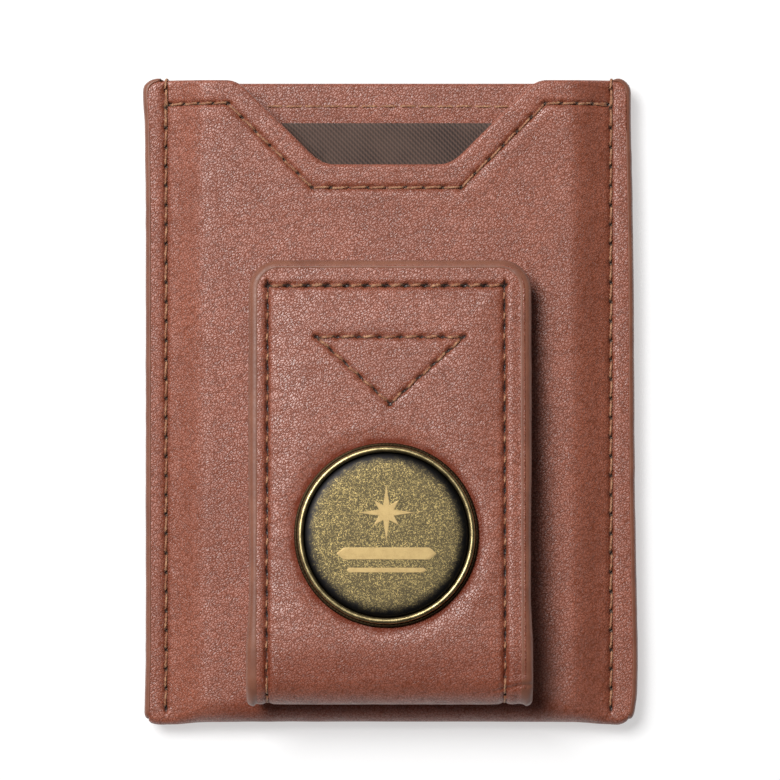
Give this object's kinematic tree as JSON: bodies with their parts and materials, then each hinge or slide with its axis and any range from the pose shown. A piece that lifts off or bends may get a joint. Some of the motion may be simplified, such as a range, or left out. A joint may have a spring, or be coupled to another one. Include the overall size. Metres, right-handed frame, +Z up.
{
  "type": "money clip card case",
  "caption": "Leather card case with a magnetic flap money clip on its front, carrying a round antique brass medallion; thumb notch at the mouth.",
  "frame": {"origin": "centre of the closed case's back face: the middle of its width and height, on the surface it lies on", "axes": "+X to the right across the case, +Y from the bottom fold towards the pocket's mouth, +Z up out of the front that carries the clip"},
  "size_m": [0.07, 0.092, 0.0177],
  "materials": {
    "leather": "fine pebble grain, satin",
    "lining_leather": "smooth, matte",
    "edge_paint": "painted and burnished edge",
    "thread": "twisted polyester thread",
    "woven_lining": "fine twill",
    "stiffener_board": "bonded board",
    "foam": "thin closed-cell foam",
    "magnet": "nickel plate",
    "antique_brass": "polished, dark in the recesses",
    "antique_brass_face": "antiqued, finely speckled"
  },
  "bodies": {
    "card_case": {"case_leather": "leather", "pocket_lining": "woven_lining", "left_edge_coating": "edge_paint", "right_edge_coating": "edge_paint", "left_side_stitching": "thread", "right_side_stitching": "thread", "notch_hem_stitching": "thread", "back_hem_stitching": "thread", "anchor_leather": "leather", "anchor_stiffener": "stiffener_board", "anchor_magnet": "magnet", "anchor_lining": "lining_leather", "anchor_edge_coating": "edge_paint", "anchor_stitching": "thread"},
    "strap_fold": {"fold_leather": "leather", "fold_lining": "lining_leather", "fold_edge_coating": "edge_paint", "fold_stitching": "thread"},
    "clip_flap": {"flap_leather": "leather", "flap_foam": "foam", "flap_stiffener": "stiffener_board", "flap_magnet": "magnet", "flap_lining": "lining_leather", "flap_edge_coating": "edge_paint", "flap_stitching": "thread", "triangle_stitching": "thread", "medallion_bezel": "antique_brass", "medallion_disc": "antique_brass_face", "medallion_washer": "antique_brass"}
  },
  "joints": [
    {"name": "fold_bend", "type": "hinge", "parent": "card_case", "child": "strap_fold", "pos_m": [0, -0.0408, 0.0097], "axis": [1, 0, 0], "range_deg": [0, 75], "deforming": ["fold_leather", "fold_lining", "fold_edge_coating", "fold_stitching"]},
    {"name": "clip_open", "type": "hinge", "parent": "strap_fold", "child": "clip_flap", "pos_m": [0, -0.0406, 0.0145], "axis": [1, 0, 0], "range_deg": [0, 75], "stiffness_Nm_per_rad": 0.01, "springref_deg": -17.19}
  ],
  "couplings": [
    {"joint": "fold_bend", "follows": "clip_open", "ratio": 1}
  ]
}
